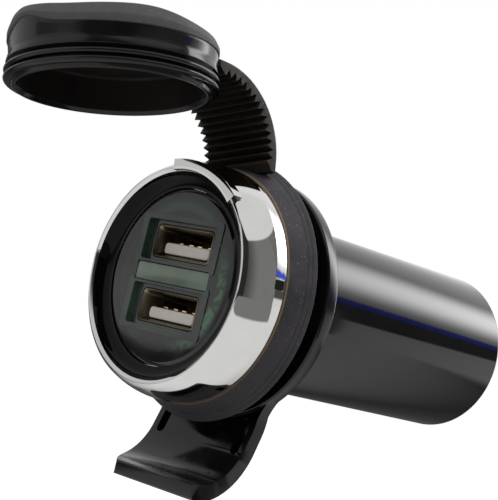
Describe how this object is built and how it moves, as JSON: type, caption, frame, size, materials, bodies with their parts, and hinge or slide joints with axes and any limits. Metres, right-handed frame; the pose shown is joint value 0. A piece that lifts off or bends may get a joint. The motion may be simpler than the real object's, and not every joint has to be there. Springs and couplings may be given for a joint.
{
  "type": "car dual usb socket",
  "caption": "Round panel-mount power socket with two stacked USB ports, chrome bezel, tethered rubber weather cap and a hook bracket on its body tube.",
  "frame": {"origin": "on the socket axis at the rear face of the bracket ring, where the free length of the body tube starts", "axes": "+Y along the body tube towards the terminals, the ports face -Y, +Z towards the cap's strap, +X to the right seen from the front"},
  "size_m": [0.0434, 0.1152, 0.0669],
  "materials": {
    "chrome_plating": "polished chrome plating",
    "smoked_plastic": "smoked transparent plastic",
    "tinted_window": "green tinted window",
    "port_steel": "plated steel",
    "white_plastic": "off-white moulded plastic",
    "black_plastic": "satin black plastic",
    "gloss_black": "gloss black plastic",
    "board_laminate": "green laminate",
    "ferrite": "dull ferrite",
    "capacitor_can": "drawn can",
    "chip_resin": "moulded resin",
    "terminal_brass": "tinned brass",
    "contact_gold": "gilded spring strip",
    "black_rubber": "matte rubber"
  },
  "bodies": {
    "socket": {"bezel": "chrome_plating", "port_face": "smoked_plastic", "light_window": "tinted_window", "usb_shell_upper": "port_steel", "usb_shell_lower": "port_steel", "usb_tongue_upper": "white_plastic", "usb_tongue_lower": "white_plastic", "module_carrier": "black_plastic", "circuit_board": "board_laminate", "status_led": "white_plastic", "power_inductor": "ferrite", "capacitor_1": "capacitor_can", "capacitor_2": "capacitor_can", "regulator_chip": "chip_resin", "port_chip": "chip_resin", "body_tube": "gloss_black", "rear_cover": "black_plastic", "terminal_positive": "terminal_brass", "terminal_negative": "terminal_brass", "mount_bracket": "gloss_black", "rubber_collar": "black_rubber", "cap_strap": "black_rubber", "usb_contact_upper_1": "contact_gold", "usb_contact_upper_2": "contact_gold", "usb_contact_upper_3": "contact_gold", "usb_contact_upper_4": "contact_gold", "usb_contact_lower_1": "contact_gold", "usb_contact_lower_2": "contact_gold", "usb_contact_lower_3": "contact_gold", "usb_contact_lower_4": "contact_gold"},
    "cap": {"weather_cap": "black_rubber"}
  },
  "joints": [
    {"name": "cap_swing", "type": "hinge", "parent": "socket", "child": "cap", "pos_m": [0, -0.01516, 0.02253], "axis": [0.9901, 0.1097, 0.0879], "range_deg": [-25, 85.8], "stiffness_Nm_per_rad": 0.03, "deforming": ["cap_strap"]}
  ]
}
